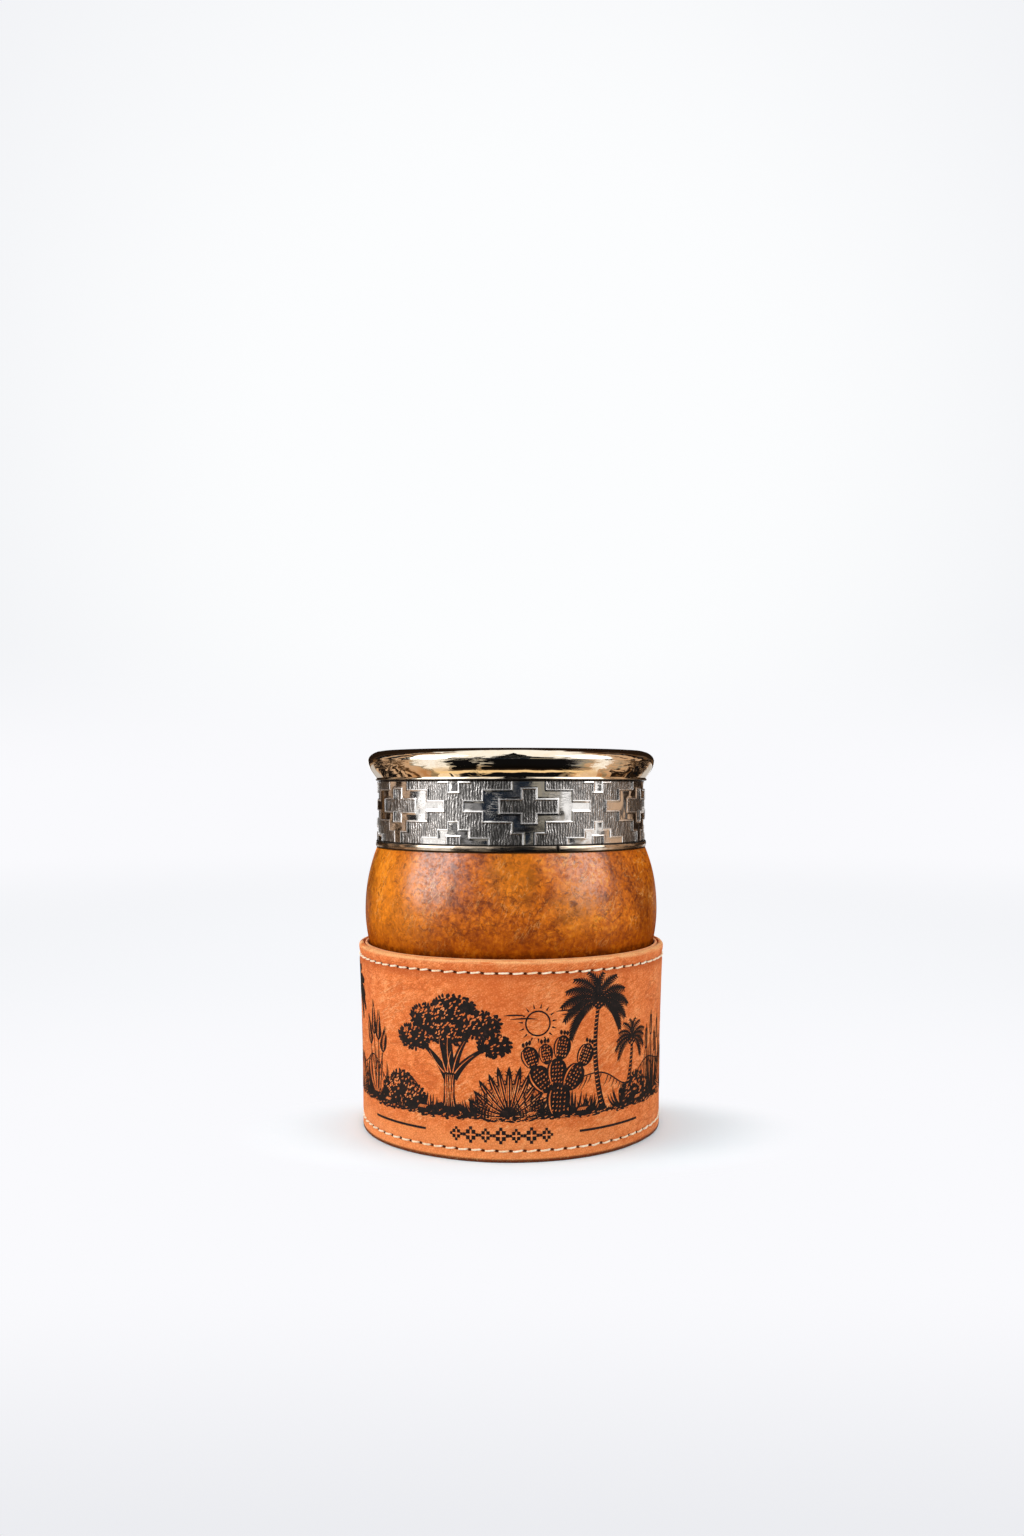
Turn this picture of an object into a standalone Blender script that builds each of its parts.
"""A mate gourd with a chased metal collar, standing in a stitched leather cup.

The gourd lifts straight up out of the cup. Its collar is a chased band with a
bead wire at its foot, a flared lip on top and a ferrule tube inside the mouth.
All sizes are in metres, +Z is up, and the cup stands on z = 0 round the Z axis.
"""

import math

import bmesh
import bpy
from mathutils import Vector

# Fits shared by all pieces
SEAT_GAP = 0.0003
TURN_STEPS = 48

# Gourd: outer shape, measured from the seat it stands on
GOURD_BELLY_RADIUS = 0.0455
GOURD_BELLY_HEIGHT = 0.0593
GOURD_SHOULDER_INSET = 0.0035
GOURD_SHOULDER_HEIGHT = 0.0782
GOURD_SEAT_RADIUS = 0.0130
GOURD_SEAT_FULLNESS = 0.0095
GOURD_LOWER_FULLNESS = 0.0235
GOURD_UPPER_FULLNESS = 0.0070
GOURD_SHOULDER_LEAN = 0.0024
GOURD_SHOULDER_DROP = 0.0060
GOURD_WALL = 0.0045

# Neck, rasped down so that the collar slips over it
NECK_REBATE = 0.00155
NECK_WALL = 0.0034
NECK_SETBACK = 0.0010
NECK_EDGE_ROUND = 0.0006

# Chased band
BAND_SHEET = 0.0007
BAND_RELIEF = 0.0005
BAND_HEIGHT = 0.0203

# Stepped-cross pattern on the band: the height above the bead at which each step
# of the large stepped diamond starts, and how far that step reaches to each side
MOTIF_PITCH = 0.0440
MOTIF_TURN = math.radians(7.0)
STEP_HEIGHTS = (0.0, 0.0033, 0.0064, 0.0093, 0.0128, 0.0159)
STEP_HALF_WIDTHS = (0.0019, 0.0051, 0.0133, 0.0191, 0.0133, 0.0051)
CROSS_ARM_STEP = 3
CROSS_STEM_STEPS = (2, 3, 4)
CROSS_ARM_HALF_WIDTH = 0.0082
CROSS_STEM_HALF_WIDTH = 0.0019
PYRAMID_HALF_WIDTHS = (0.0109, 0.0053, 0.0019)
PYRAMID_STEP = 0.0023
PYRAMID_NOTCH_HALF_WIDTH = 0.0019
PENDANT_DROP = 0.0037
PENDANT_SHOULDER_DROP = 0.0008

# Bead wire at the foot of the band
BEAD_HEIGHT = 0.0019
BEAD_DEPTH = 0.00085
BEAD_EDGE = 0.0002
BEAD_JOINT_GAP = 0.0003
BEAD_JOINT_TURN = math.radians(18.3)

# Flared lip, spun from sheet
LIP_SHEET = 0.0009
LIP_OVERHANG = 0.0004
LIP_FLARE = 0.0025
LIP_FLARE_HEIGHT = 0.0060
LIP_CREST_HEIGHT = 0.0089
LIP_CREST_INSET = 0.0034
LIP_SKIRT_DEPTH = 0.0074
LIP_THROAT_DEPTH = 0.0052
LIP_THROAT_FULLNESS = 0.0030
LIP_CREST_FULLNESS_IN = 0.0036
LIP_CREST_FULLNESS_OUT = 0.0020
LIP_EDGE_FULLNESS_UP = 0.0020
LIP_EDGE_FULLNESS_DOWN = 0.0026
LIP_FOOT_FULLNESS = 0.0020
LIP_FOOT_LEAN = 0.0003

# Ferrule tube inside the mouth
LINER_SHEET = 0.0007
LINER_LENGTH = 0.0115
LINER_FOOT_ROUND = 0.0003

# Leather cup
STAND_HEIGHT = 0.0560
STAND_TAPER = 0.0015
STAND_FIT = 0.0004
OUTER_PLY = 0.0016
LINING_PLY = 0.0010
LEATHER_EDGE_ROUND = 0.0012
LINING_EDGE_ROUND = 0.0006
EDGE_ROUND_LIMIT = 0.8
FOOT_EDGE_ROUND = 0.0004
BASE_THICKNESS = 0.0045
BASE_EDGE_ROUND = 0.0005
INSOLE_THICKNESS = 0.0018
INSOLE_MARGIN = 0.0003
INSOLE_EDGE_ROUND = 0.0004

# Stitching
THREAD_RADIUS = 0.00028
STITCH_PITCH = 0.0040
STITCH_WAVE = 0.00012
STITCH_SINK = 0.00012
TOP_STITCH_INSET = 0.0036
BOTTOM_STITCH_INSET = 0.0032
STITCH_PULL = 0.00015
STITCH_PULL_REACH = 0.0014

# Back seam: a slit in the outer ply, closed by a zigzag of thread
SEAM_SLIT = 0.0003
SEAM_HALF_WIDTH = 0.0027
SEAM_PITCH = 0.0040
SEAM_END_MARGIN = 0.0046
SEAM_CORNER = 0.0005

# Heights that follow from the stack of pieces
INSOLE_BASE = BASE_THICKNESS + SEAT_GAP
GOURD_SEAT = INSOLE_BASE + INSOLE_THICKNESS + SEAT_GAP
COLLAR_FOOT = GOURD_SHOULDER_HEIGHT + SEAT_GAP
BEAD_TOP = COLLAR_FOOT + BEAD_HEIGHT
BAND_TOP = COLLAR_FOOT + BAND_HEIGHT
LIP_FOOT = BAND_TOP + SEAT_GAP
NECK_TOP = BAND_TOP - NECK_SETBACK

# Radii that follow from the fits
GOURD_SHOULDER_RADIUS = GOURD_BELLY_RADIUS - GOURD_SHOULDER_INSET
NECK_RADIUS = GOURD_SHOULDER_RADIUS - NECK_REBATE
NECK_BORE = NECK_RADIUS - NECK_WALL
BAND_BORE = NECK_RADIUS + SEAT_GAP
BAND_GROUND = BAND_BORE + BAND_SHEET
BAND_FACE = BAND_GROUND + BAND_RELIEF
BEAD_BORE = BAND_GROUND + SEAT_GAP
LIP_FOOT_RADIUS = BAND_FACE + LIP_OVERHANG
LINER_RADIUS = NECK_BORE - SEAT_GAP
LINER_BORE = LINER_RADIUS - LINER_SHEET
LIP_SKIRT_BORE = LINER_RADIUS - LIP_SHEET

# Stitch rows that follow from the cup
TOP_STITCH_HEIGHT = STAND_HEIGHT - TOP_STITCH_INSET
BOTTOM_STITCH_HEIGHT = BOTTOM_STITCH_INSET
GROOVE_DEPTH = THREAD_RADIUS + STITCH_WAVE + STITCH_SINK + SEAT_GAP
GROOVE_HALF_WIDTH = THREAD_RADIUS + SEAT_GAP
GROOVE_MOUTH_HALF_WIDTH = GROOVE_HALF_WIDTH + SEAT_GAP


def clear_scene():
    """Remove whatever the scene holds, so that only the model is in it."""
    for obj in list(bpy.data.objects):
        bpy.data.objects.remove(obj, do_unlink=True)


def new_collection(name):
    """A collection linked to the scene."""
    collection = bpy.data.collections.new(name)
    bpy.context.scene.collection.children.link(collection)
    return collection


def new_material(name, colour, roughness, metallic):
    """A Principled material in one colour."""
    material = bpy.data.materials.new(name)
    material.use_nodes = True
    shader = material.node_tree.nodes["Principled BSDF"]
    shader.inputs["Base Color"].default_value = (*colour, 1.0)
    shader.inputs["Roughness"].default_value = roughness
    shader.inputs["Metallic"].default_value = metallic
    material.diffuse_color = (*colour, 1.0)
    return material


def new_frame(name, height, collection):
    """An empty on the Z axis that carries the pieces of one moving group."""
    frame = bpy.data.objects.new(name, None)
    frame.location = (0.0, 0.0, height)
    frame.empty_display_size = 0.02
    collection.objects.link(frame)
    return frame


def bezier(start, handle_a, handle_b, end, count):
    """Points along a cubic Bezier curve in the (radius, height) plane."""
    points = []
    for index in range(count + 1):
        t = index / count
        s = 1.0 - t
        weights = (s ** 3, 3 * s * s * t, 3 * s * t * t, t ** 3)
        ends = (start, handle_a, handle_b, end)
        radius = sum(w * p[0] for w, p in zip(weights, ends))
        height = sum(w * p[1] for w, p in zip(weights, ends))
        points.append((radius, height))
    return points


def arc(centre, radius, start_degrees, end_degrees, count):
    """Points along an arc in the (radius, height) plane."""
    points = []
    for index in range(count + 1):
        angle = math.radians(start_degrees + (end_degrees - start_degrees) * index / count)
        points.append((centre[0] + radius * math.cos(angle), centre[1] + radius * math.sin(angle)))
    return points


def offset_path(path, distance):
    """The path moved sideways, to the right of its own direction."""
    moved = []
    last = len(path) - 1
    for index, point in enumerate(path):
        before = path[max(index - 1, 0)]
        after = path[min(index + 1, last)]
        run = Vector((after[0] - before[0], after[1] - before[1])).normalized()
        moved.append((point[0] + run.y * distance, point[1] - run.x * distance))
    return moved


def radius_at(path, height):
    """Radius of a path at one height, between its two nearest points."""
    for (radius_a, height_a), (radius_b, height_b) in zip(path, path[1:]):
        if min(height_a, height_b) <= height <= max(height_a, height_b) and height_a != height_b:
            share = (height - height_a) / (height_b - height_a)
            return radius_a + share * (radius_b - radius_a)
    return path[-1][0]


def finish_mesh(obj, sharp_degrees=35.0):
    """Bake the object's modifiers and shade it smooth between sharp edges."""
    depsgraph = bpy.context.evaluated_depsgraph_get()
    mesh = bpy.data.meshes.new_from_object(obj.evaluated_get(depsgraph))
    obj.modifiers.clear()
    obj.data = mesh
    mesh.name = obj.name
    mesh.shade_smooth()
    mesh.set_sharp_from_angle(angle=math.radians(sharp_degrees))


def place(obj, collection, parent, height, material):
    """Put a piece in its collection, on its frame and in its material."""
    collection.objects.link(obj)
    obj.parent = parent
    obj.location.z = height
    obj.data.materials.append(material)


def turned(name, profile, closed, collection, parent, height, material):
    """A turned piece: a profile that runs down its outer side, spun by Screw."""
    mesh = bpy.data.meshes.new(name)
    edges = [(index, index + 1) for index in range(len(profile) - 1)]
    if closed:
        edges.append((len(profile) - 1, 0))
    mesh.from_pydata([(radius, 0.0, z) for radius, z in profile], edges, [])
    obj = bpy.data.objects.new(name, mesh)
    place(obj, collection, parent, height, material)
    screw = obj.modifiers.new("turn", "SCREW")
    screw.steps = TURN_STEPS
    screw.render_steps = TURN_STEPS
    screw.use_merge_vertices = True
    screw.merge_threshold = 0.00001
    screw.use_smooth_shade = True
    return obj


def box_cutter(name, size, location, rotation, cutters):
    """A box in the cutters collection, hidden from renders."""
    mesh = bpy.data.meshes.new(name)
    body = bmesh.new()
    bmesh.ops.create_cube(body, size=1.0)
    bmesh.ops.scale(body, vec=size, verts=body.verts)
    body.to_mesh(mesh)
    body.free()
    cutter = bpy.data.objects.new(name, mesh)
    cutter.location = location
    cutter.rotation_euler = rotation
    cutter.hide_render = True
    cutter.display_type = "WIRE"
    cutters.objects.link(cutter)
    return cutter


def cut(obj, cutter):
    """Subtract a cutter from a piece."""
    boolean = obj.modifiers.new("cut", "BOOLEAN")
    boolean.operation = "DIFFERENCE"
    boolean.solver = "EXACT"
    boolean.object = cutter


def thread(name, points, cyclic, collection, parent, material):
    """A thread: a curve through its points with a round section."""
    curve = bpy.data.curves.new(name, "CURVE")
    curve.dimensions = "3D"
    curve.bevel_depth = THREAD_RADIUS
    curve.bevel_resolution = 0
    curve.use_fill_caps = True
    curve.twist_mode = "Z_UP"
    spline = curve.splines.new("POLY")
    spline.points.add(len(points) - 1)
    for target, point in zip(spline.points, points):
        target.co = (*point, 1.0)
    spline.use_cyclic_u = cyclic
    obj = bpy.data.objects.new(name, curve)
    place(obj, collection, parent, 0.0, material)
    return obj


def gourd_skin():
    """Outer shape of the gourd below its collar, shoulder to the seat's centre."""
    belly = (GOURD_BELLY_RADIUS, GOURD_BELLY_HEIGHT)
    shoulder = (GOURD_SHOULDER_RADIUS, GOURD_SHOULDER_HEIGHT)
    shoulder_handle = (shoulder[0] + GOURD_SHOULDER_LEAN, shoulder[1] - GOURD_SHOULDER_DROP)
    upper_handle = (belly[0], belly[1] + GOURD_UPPER_FULLNESS)
    lower_handle = (belly[0], belly[1] - GOURD_LOWER_FULLNESS)
    seat = (GOURD_SEAT_RADIUS, 0.0)
    seat_handle = (seat[0] + GOURD_SEAT_FULLNESS, 0.0)
    upper = bezier(shoulder, shoulder_handle, upper_handle, belly, 5)
    lower = bezier(belly, lower_handle, seat_handle, seat, 12)
    return upper + lower[1:]


def make_gourd_shell(collection, parent, material):
    """The hollow gourd, with its neck rasped down and its mouth cut open."""
    skin = gourd_skin()
    cavity = offset_path(skin, GOURD_WALL)[::-1]
    cavity = [point for point in cavity if point[0] > NECK_BORE or point[1] < GOURD_BELLY_HEIGHT]
    rim = NECK_EDGE_ROUND
    profile = [(0.0, GOURD_WALL)] + cavity[::2]
    profile.append((NECK_BORE, GOURD_SHOULDER_HEIGHT + GOURD_SHOULDER_DROP / 2))
    profile += arc((NECK_BORE + rim, NECK_TOP - rim), rim, 180.0, 90.0, 1)
    profile += arc((NECK_RADIUS - rim, NECK_TOP - rim), rim, 90.0, 0.0, 1)
    profile.append((NECK_RADIUS, GOURD_SHOULDER_HEIGHT))
    profile += skin
    profile.append((0.0, 0.0))
    shell = turned("gourd_shell", profile, False, collection, parent, 0.0, material)
    finish_mesh(shell)
    return shell


def diamond_is_raised(across, up):
    """Whether the stepped diamond is polished here: its steps less the sunk cross."""
    step = sum(1 for height in STEP_HEIGHTS if up > height) - 1
    if across > STEP_HALF_WIDTHS[step]:
        return False
    in_arm = step == CROSS_ARM_STEP and across < CROSS_ARM_HALF_WIDTH
    in_stem = step in CROSS_STEM_STEPS and across < CROSS_STEM_HALF_WIDTH
    return not (in_arm or in_stem)


def pyramid_is_raised(side, up):
    """Whether the stepped pyramid on the bead, between two diamonds, is polished here."""
    step = int(up / PYRAMID_STEP)
    if step >= len(PYRAMID_HALF_WIDTHS) or side > PYRAMID_HALF_WIDTHS[step]:
        return False
    return step > 0 or side > PYRAMID_NOTCH_HALF_WIDTH


def pendant_is_raised(side, down):
    """Whether the inverted pyramid that hangs from the band's top edge is polished here."""
    if down < PENDANT_SHOULDER_DROP:
        return side < PYRAMID_HALF_WIDTHS[1]
    return down < PENDANT_DROP and side < PYRAMID_HALF_WIDTHS[2]


def motif_is_raised(along, up, half_tile):
    """Whether the pattern is polished metal at this place on one tile."""
    across = abs(along)
    side = half_tile - across
    down = BAND_TOP - BEAD_TOP - up
    return diamond_is_raised(across, up) or pyramid_is_raised(side, up) or pendant_is_raised(side, down)


def band_columns(tiles):
    """Angles of the pattern's upright edges, once round the band."""
    tile = 2 * math.pi * BAND_FACE / tiles
    edges = set()
    for width in (*STEP_HALF_WIDTHS, CROSS_ARM_HALF_WIDTH, CROSS_STEM_HALF_WIDTH):
        edges.add(round(width, 7))
    for width in (*PYRAMID_HALF_WIDTHS, PYRAMID_NOTCH_HALF_WIDTH):
        edges.add(round(tile / 2 - width, 7))
    inside = sorted(edge for edge in edges if 0.0 < edge < tile / 2)
    one_tile = [-edge for edge in reversed(inside)] + inside
    columns = []
    for index in range(tiles):
        columns += [(index * tile + edge) / BAND_FACE for edge in one_tile]
    return columns


def band_rows():
    """Heights of the pattern's level edges, from the band's foot to its top."""
    pattern_height = BAND_TOP - BEAD_TOP
    rows = {0.0, pattern_height}
    rows.update(height for height in STEP_HEIGHTS if height < pattern_height)
    rows.update((index + 1) * PYRAMID_STEP for index in range(len(PYRAMID_HALF_WIDTHS)))
    rows.update((pattern_height - PENDANT_DROP, pattern_height - PENDANT_SHOULDER_DROP))
    return [-BEAD_HEIGHT] + sorted(round(row, 7) for row in rows)


def wall_inside(body, bore):
    """Close a sheet ring: turn its two edges inward and join them down the bore."""
    edges = [edge for edge in body.edges if edge.is_boundary]
    turned_in = bmesh.ops.extrude_edge_only(body, edges=edges)["geom"]
    for vert in turned_in:
        if isinstance(vert, bmesh.types.BMVert):
            flat = Vector((vert.co.x, vert.co.y, 0.0)).normalized() * bore
            vert.co = (flat.x, flat.y, vert.co.z)
    open_edges = [edge for edge in body.edges if edge.is_boundary]
    bmesh.ops.bridge_loops(body, edges=open_edges)


def make_collar_band(collection, parent, material):
    """The chased band: a sheet ring whose stepped crosses stand proud of the ground."""
    tiles = max(1, round(2 * math.pi * BAND_FACE / MOTIF_PITCH))
    columns = band_columns(tiles)
    rows = band_rows()
    tile_angle = 2 * math.pi / tiles
    half_tile = BAND_FACE * tile_angle / 2
    mesh = bpy.data.meshes.new("collar_band")
    body = bmesh.new()
    across = len(columns)
    bmesh.ops.create_grid(body, x_segments=across, y_segments=len(rows) - 1, size=0.5)
    for vert in body.verts:
        column = round((vert.co.x + 0.5) * across)
        row = round((vert.co.y + 0.5) * (len(rows) - 1))
        angle = MOTIF_TURN + columns[column % across] - math.pi / 2
        vert.co = (BAND_GROUND * math.cos(angle), BAND_GROUND * math.sin(angle), rows[row])
    bmesh.ops.remove_doubles(body, verts=body.verts, dist=0.000001)
    raised = []
    for face in body.faces:
        centre = face.calc_center_median()
        angle = math.atan2(centre.y, centre.x) + math.pi / 2 - MOTIF_TURN
        along = ((angle + tile_angle / 2) % tile_angle - tile_angle / 2) * BAND_FACE
        if centre.z > 0.0 and motif_is_raised(along, centre.z, half_tile):
            raised.append(face)
    pushed = bmesh.ops.extrude_face_region(body, geom=raised)["geom"]
    for vert in pushed:
        if isinstance(vert, bmesh.types.BMVert):
            vert.co.xy = vert.co.xy.normalized() * BAND_FACE
    bmesh.ops.delete(body, geom=raised, context="FACES")
    wall_inside(body, BAND_BORE)
    bmesh.ops.recalc_face_normals(body, faces=body.faces)
    body.to_mesh(mesh)
    body.free()
    band = bpy.data.objects.new("collar_band", mesh)
    place(band, collection, parent, BEAD_TOP, material)
    finish_mesh(band)
    return band


def make_collar_bead(collection, parent, cutters, material):
    """The half-round wire at the band's foot, with its butt joint left open."""
    radius = BEAD_BORE + BEAD_DEPTH
    edge = BEAD_BORE + BEAD_EDGE
    crown = bezier((edge, BEAD_HEIGHT), (radius, BEAD_HEIGHT), (radius, 0.0), (edge, 0.0), 4)
    profile = [(BEAD_BORE, BEAD_HEIGHT)] + crown + [(BEAD_BORE, 0.0)]
    bead = turned("collar_bead", profile, True, collection, parent, COLLAR_FOOT, material)
    turn = BEAD_JOINT_TURN - math.pi / 2
    centre = (radius * math.cos(turn), radius * math.sin(turn),
              GOURD_SEAT + COLLAR_FOOT + BEAD_HEIGHT / 2)
    cutter = box_cutter("bead_joint_cutter", (4 * BEAD_DEPTH, BEAD_JOINT_GAP, 2 * BEAD_HEIGHT),
                        centre, (0.0, 0.0, turn), cutters)
    cut(bead, cutter)
    finish_mesh(bead)
    return bead


def lip_path():
    """Outer face of the lip, from its skirt in the mouth over the crest to its foot."""
    crest = (LIP_FOOT_RADIUS + LIP_FLARE - LIP_CREST_INSET, LIP_CREST_HEIGHT)
    edge = (LIP_FOOT_RADIUS + LIP_FLARE, LIP_FLARE_HEIGHT)
    foot = (LIP_FOOT_RADIUS, 0.0)
    throat = (LIP_SKIRT_BORE, LIP_CREST_HEIGHT - LIP_THROAT_DEPTH)
    inner = bezier(throat, (throat[0], throat[1] + LIP_THROAT_FULLNESS),
                   (crest[0] - LIP_CREST_FULLNESS_IN, crest[1]), crest, 6)
    crown = bezier(crest, (crest[0] + LIP_CREST_FULLNESS_OUT, crest[1]),
                   (edge[0], edge[1] + LIP_EDGE_FULLNESS_UP), edge, 5)
    flare = bezier(edge, (edge[0], edge[1] - LIP_EDGE_FULLNESS_DOWN),
                   (foot[0] + LIP_FOOT_LEAN, foot[1] + LIP_FOOT_FULLNESS), foot, 5)
    skirt = [(LIP_SKIRT_BORE, LIP_CREST_HEIGHT - LIP_SKIRT_DEPTH)]
    return skirt + inner + crown[1:] + flare[1:]


def make_rim_lip(collection, parent, material):
    """The flared lip: one sheet that rolls from the mouth out over the band."""
    face = lip_path()
    hidden = offset_path(face, LIP_SHEET)[::-1]
    kept = [hidden[0]] + hidden[1:-1:2] + [hidden[-1]]
    lip = turned("rim_lip", face + kept, True, collection, parent, LIP_FOOT, material)
    finish_mesh(lip)
    return lip


def make_mouth_liner(collection, parent, material):
    """The ferrule tube that lines the cut mouth, below the lip's skirt."""
    top = LIP_FOOT + LIP_CREST_HEIGHT - LIP_SKIRT_DEPTH - SEAT_GAP
    edge = LINER_FOOT_ROUND
    profile = [(LINER_BORE, LINER_LENGTH), (LINER_RADIUS, LINER_LENGTH)]
    profile += [(LINER_RADIUS, edge), (LINER_RADIUS - edge, 0.0), (LINER_BORE, 0.0)]
    liner = turned("mouth_liner", profile, True, collection, parent, top - LINER_LENGTH, material)
    finish_mesh(liner)
    return liner


def stand_taper(height):
    """How far the cup's wall has drawn in at this height, from its mouth down."""
    return STAND_TAPER * (1.0 - (height / STAND_HEIGHT) ** 2)


def stand_bore():
    """Radius of the cup's mouth: its tapered wall clears the gourd at every height."""
    skin = gourd_skin()
    needed = [radius_at(skin, STAND_HEIGHT - GOURD_SEAT)]
    for radius, height in skin:
        if height + GOURD_SEAT < STAND_HEIGHT:
            needed.append(radius + stand_taper(height + GOURD_SEAT))
    return max(needed) + STAND_FIT


def wall_radius(height, depth):
    """Radius of a face in the cup's wall, this deep below its outside."""
    outside = stand_bore() + LINING_PLY + SEAT_GAP + OUTER_PLY
    return outside - depth - stand_taper(height)


def stand_face(height):
    """Radius of the cup's leather face, drawn in a little at the stitch rows."""
    radius = wall_radius(height, 0.0)
    for row in (TOP_STITCH_HEIGHT, BOTTOM_STITCH_HEIGHT):
        radius -= STITCH_PULL * math.exp(-((height - row) / STITCH_PULL_REACH) ** 2)
    return radius


def groove_profile(height):
    """The shallow channel that a row of stitches lies in, top to bottom."""
    face = stand_face(height)
    floor = face - GROOVE_DEPTH
    return [(face, height + GROOVE_MOUTH_HALF_WIDTH), (floor, height + GROOVE_HALF_WIDTH),
            (floor, height - GROOVE_HALF_WIDTH), (face, height - GROOVE_MOUTH_HALF_WIDTH)]


def make_sleeve_outer(collection, parent, cutters, material):
    """The outer ply: a strip of thick leather bent round and butted at the back."""
    edge = min(LEATHER_EDGE_ROUND, EDGE_ROUND_LIMIT * OUTER_PLY)
    foot = FOOT_EDGE_ROUND
    top = stand_face(STAND_HEIGHT)
    profile = [(wall_radius(STAND_HEIGHT, OUTER_PLY), STAND_HEIGHT)]
    profile += arc((top - edge, STAND_HEIGHT - edge), edge, 90.0, 0.0, 4)
    profile += groove_profile(TOP_STITCH_HEIGHT)
    between = TOP_STITCH_HEIGHT - BOTTOM_STITCH_HEIGHT
    for share in (0.92, 0.5, 0.08):
        level = BOTTOM_STITCH_HEIGHT + share * between
        profile.append((stand_face(level), level))
    profile += groove_profile(BOTTOM_STITCH_HEIGHT)
    profile += arc((stand_face(0.0) - foot, foot), foot, 0.0, -90.0, 2)
    for share in (0.0, 0.5):
        level = share * STAND_HEIGHT
        profile.append((wall_radius(level, OUTER_PLY), level))
    sleeve = turned("sleeve_outer", profile, True, collection, parent, 0.0, material)
    for cutter in seam_cutters(cutters):
        cut(sleeve, cutter)
    finish_mesh(sleeve)
    return sleeve


def seam_span():
    """Lowest and highest point of the back seam's thread."""
    low = BOTTOM_STITCH_HEIGHT + SEAM_END_MARGIN
    high = TOP_STITCH_HEIGHT - SEAM_END_MARGIN
    turns = max(2, round((high - low) / (SEAM_PITCH / 2)))
    return low, high, turns


def seam_cutters(cutters):
    """The butt joint's slit, and the shallow channel pressed in by its thread."""
    low, high, _ = seam_span()
    middle = (low + high) / 2
    lean = math.atan2(stand_face(high) - stand_face(low), high - low)
    width = 2 * (SEAM_HALF_WIDTH + THREAD_RADIUS + SEAT_GAP)
    length = high - low + 2 * (THREAD_RADIUS + SEAT_GAP)
    floor = stand_face(middle) - GROOVE_DEPTH - SEAM_HALF_WIDTH ** 2 / (2 * stand_face(middle))
    reach = 2 * OUTER_PLY
    channel = box_cutter("seam_channel_cutter", (width, reach, length),
                         (0.0, floor + reach / 2, middle), (-lean, 0.0, 0.0), cutters)
    slit = box_cutter("seam_slit_cutter", (SEAM_SLIT, 4 * OUTER_PLY, 2 * STAND_HEIGHT),
                      (0.0, stand_face(middle), STAND_HEIGHT / 2), (0.0, 0.0, 0.0), cutters)
    return channel, slit


def make_sleeve_lining(collection, parent, material):
    """The thin lining ply, glued flesh side to flesh side inside the outer ply."""
    outside = OUTER_PLY + SEAT_GAP
    inside = outside + LINING_PLY
    edge = min(LINING_EDGE_ROUND, EDGE_ROUND_LIMIT * LINING_PLY)
    mouth = wall_radius(STAND_HEIGHT, inside)
    profile = arc((mouth + edge, STAND_HEIGHT - edge), edge, 180.0, 90.0, 2)
    for share in (1.0, 0.5, 0.0):
        level = share * STAND_HEIGHT
        profile.append((wall_radius(level, outside), level))
    for share in (0.0, 0.5):
        level = share * STAND_HEIGHT
        profile.append((wall_radius(level, inside), level))
    lining = turned("sleeve_lining", profile, True, collection, parent, 0.0, material)
    finish_mesh(lining)
    return lining


def make_disc(name, radius, thickness, edge, collection, parent, height, material):
    """A round of leather with softened edges."""
    profile = [(0.0, thickness), (radius - edge, thickness), (radius, thickness - edge)]
    profile += [(radius, edge), (radius - edge, 0.0), (0.0, 0.0)]
    disc = turned(name, profile, False, collection, parent, height, material)
    finish_mesh(disc)
    return disc


def make_stitch_row(name, height, collection, parent, material):
    """One row of saddle stitches: thread that dips into the leather at each hole."""
    radius = stand_face(height) - STITCH_SINK
    stitches = round(2 * math.pi * radius / STITCH_PITCH)
    points = []
    for index in range(2 * stitches):
        angle = math.pi * index / stitches
        reach = radius + (STITCH_WAVE if index % 2 else -STITCH_WAVE)
        points.append((reach * math.cos(angle), reach * math.sin(angle), height))
    return thread(name, points, True, collection, parent, material)


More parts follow.
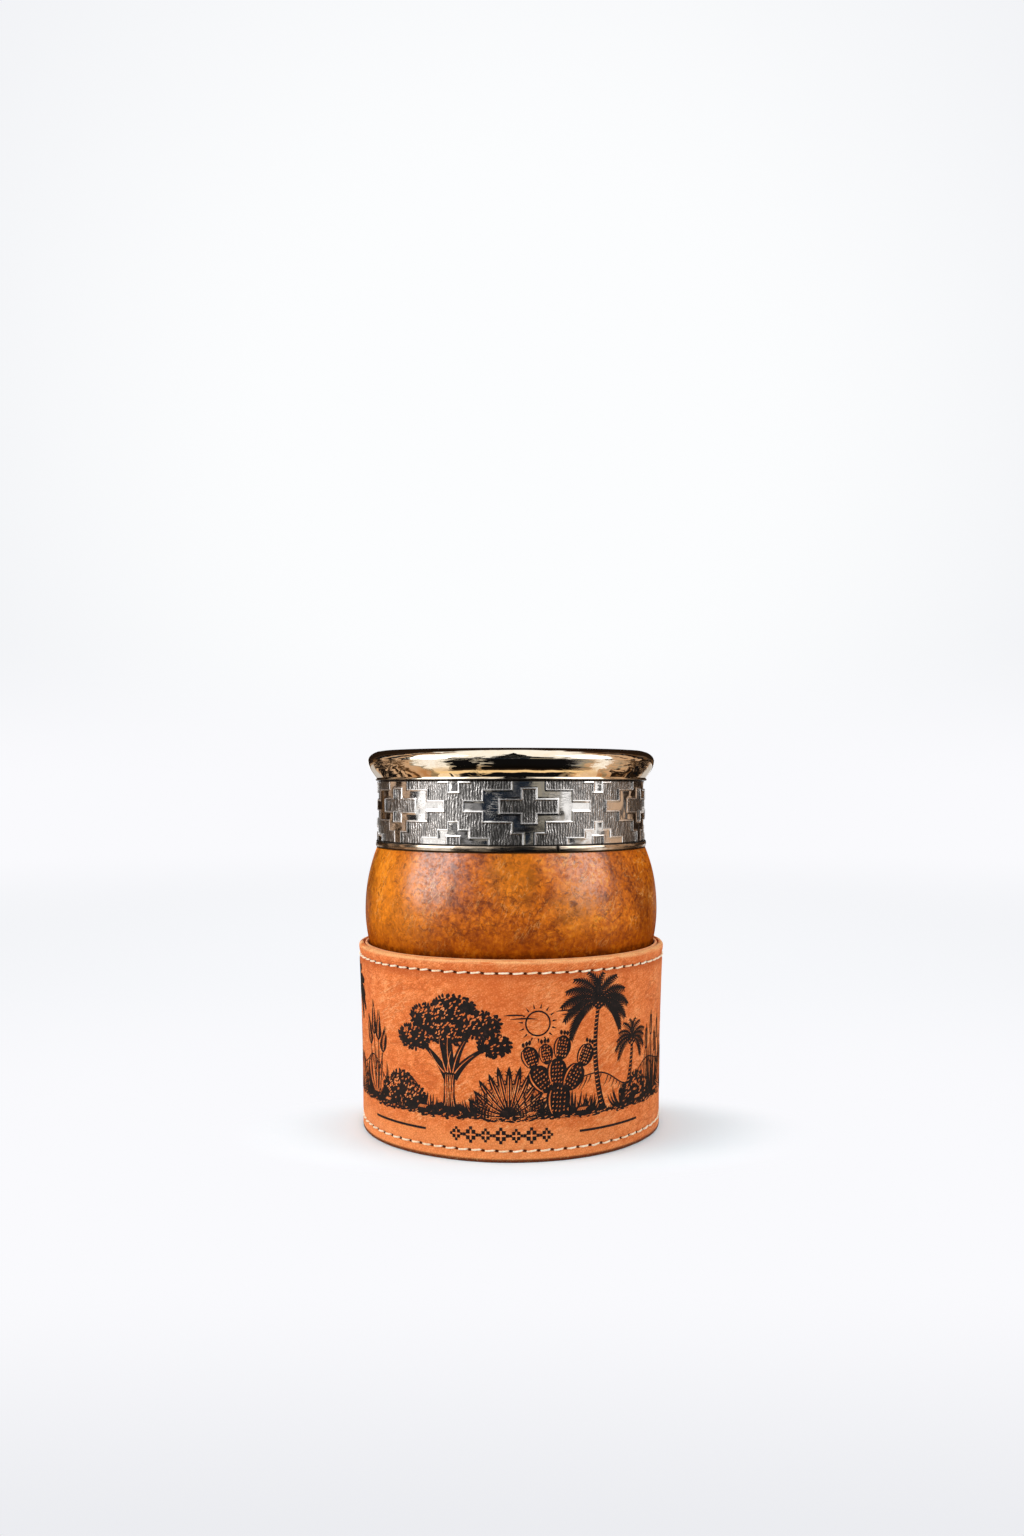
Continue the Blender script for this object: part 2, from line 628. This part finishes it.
def make_seam_stitching(collection, parent, material):
    """The zigzag of thread that pulls the back seam together."""
    low, high, turns = seam_span()
    step = (high - low) / turns
    points = []
    for index in range(turns + 1):
        side = 1.0 if index % 2 else -1.0
        level = low + index * step
        for lift in (-SEAM_CORNER / 2, SEAM_CORNER / 2):
            radius = stand_face(level) - STITCH_SINK
            depth = math.sqrt(radius ** 2 - SEAM_HALF_WIDTH ** 2)
            points.append((side * SEAM_HALF_WIDTH, depth, level + lift))
    return thread("seam_stitching", points, False, collection, parent, material)


def make_stand(collection, cutters):
    """The leather cup, with its base, insole and stitching."""
    tan = new_material("tan_leather", (0.72, 0.25, 0.10), 0.55, 0.0)
    flesh = new_material("lining_leather", (0.55, 0.22, 0.10), 0.75, 0.0)
    sole = new_material("sole_leather", (0.45, 0.20, 0.09), 0.70, 0.0)
    linen = new_material("waxed_thread", (0.83, 0.74, 0.62), 0.60, 0.0)
    stand = new_frame("stand_frame", 0.0, collection)
    make_sleeve_outer(collection, stand, cutters, tan)
    make_sleeve_lining(collection, stand, flesh)
    floor_radius = wall_radius(0.0, OUTER_PLY + SEAT_GAP + LINING_PLY) - SEAT_GAP
    make_disc("base_disc", floor_radius, BASE_THICKNESS, BASE_EDGE_ROUND,
              collection, stand, 0.0, sole)
    make_disc("insole", floor_radius - INSOLE_MARGIN, INSOLE_THICKNESS, INSOLE_EDGE_ROUND,
              collection, stand, INSOLE_BASE, flesh)
    make_stitch_row("top_stitching", TOP_STITCH_HEIGHT, collection, stand, linen)
    make_stitch_row("bottom_stitching", BOTTOM_STITCH_HEIGHT, collection, stand, linen)
    make_seam_stitching(collection, stand, linen)


def make_gourd(collection, cutters):
    """The gourd and its metal collar, which lift out of the cup together."""
    skin = new_material("gourd_skin", (0.48, 0.17, 0.03), 0.38, 0.0)
    silver = new_material("oxidised_silver", (0.55, 0.53, 0.50), 0.30, 1.0)
    bright = new_material("bright_silver", (0.80, 0.77, 0.72), 0.18, 1.0)
    gold = new_material("pale_gold", (0.88, 0.72, 0.48), 0.12, 1.0)
    gourd = new_frame("gourd_lift_frame", GOURD_SEAT, collection)
    make_gourd_shell(collection, gourd, skin)
    make_collar_band(collection, gourd, silver)
    make_collar_bead(collection, gourd, cutters, bright)
    make_rim_lip(collection, gourd, gold)
    make_mouth_liner(collection, gourd, bright)


def main():
    """Build the whole object."""
    clear_scene()
    parts = new_collection("mate_gourd")
    cutters = new_collection("cutters")
    make_stand(parts, cutters)
    make_gourd(parts, cutters)


main()
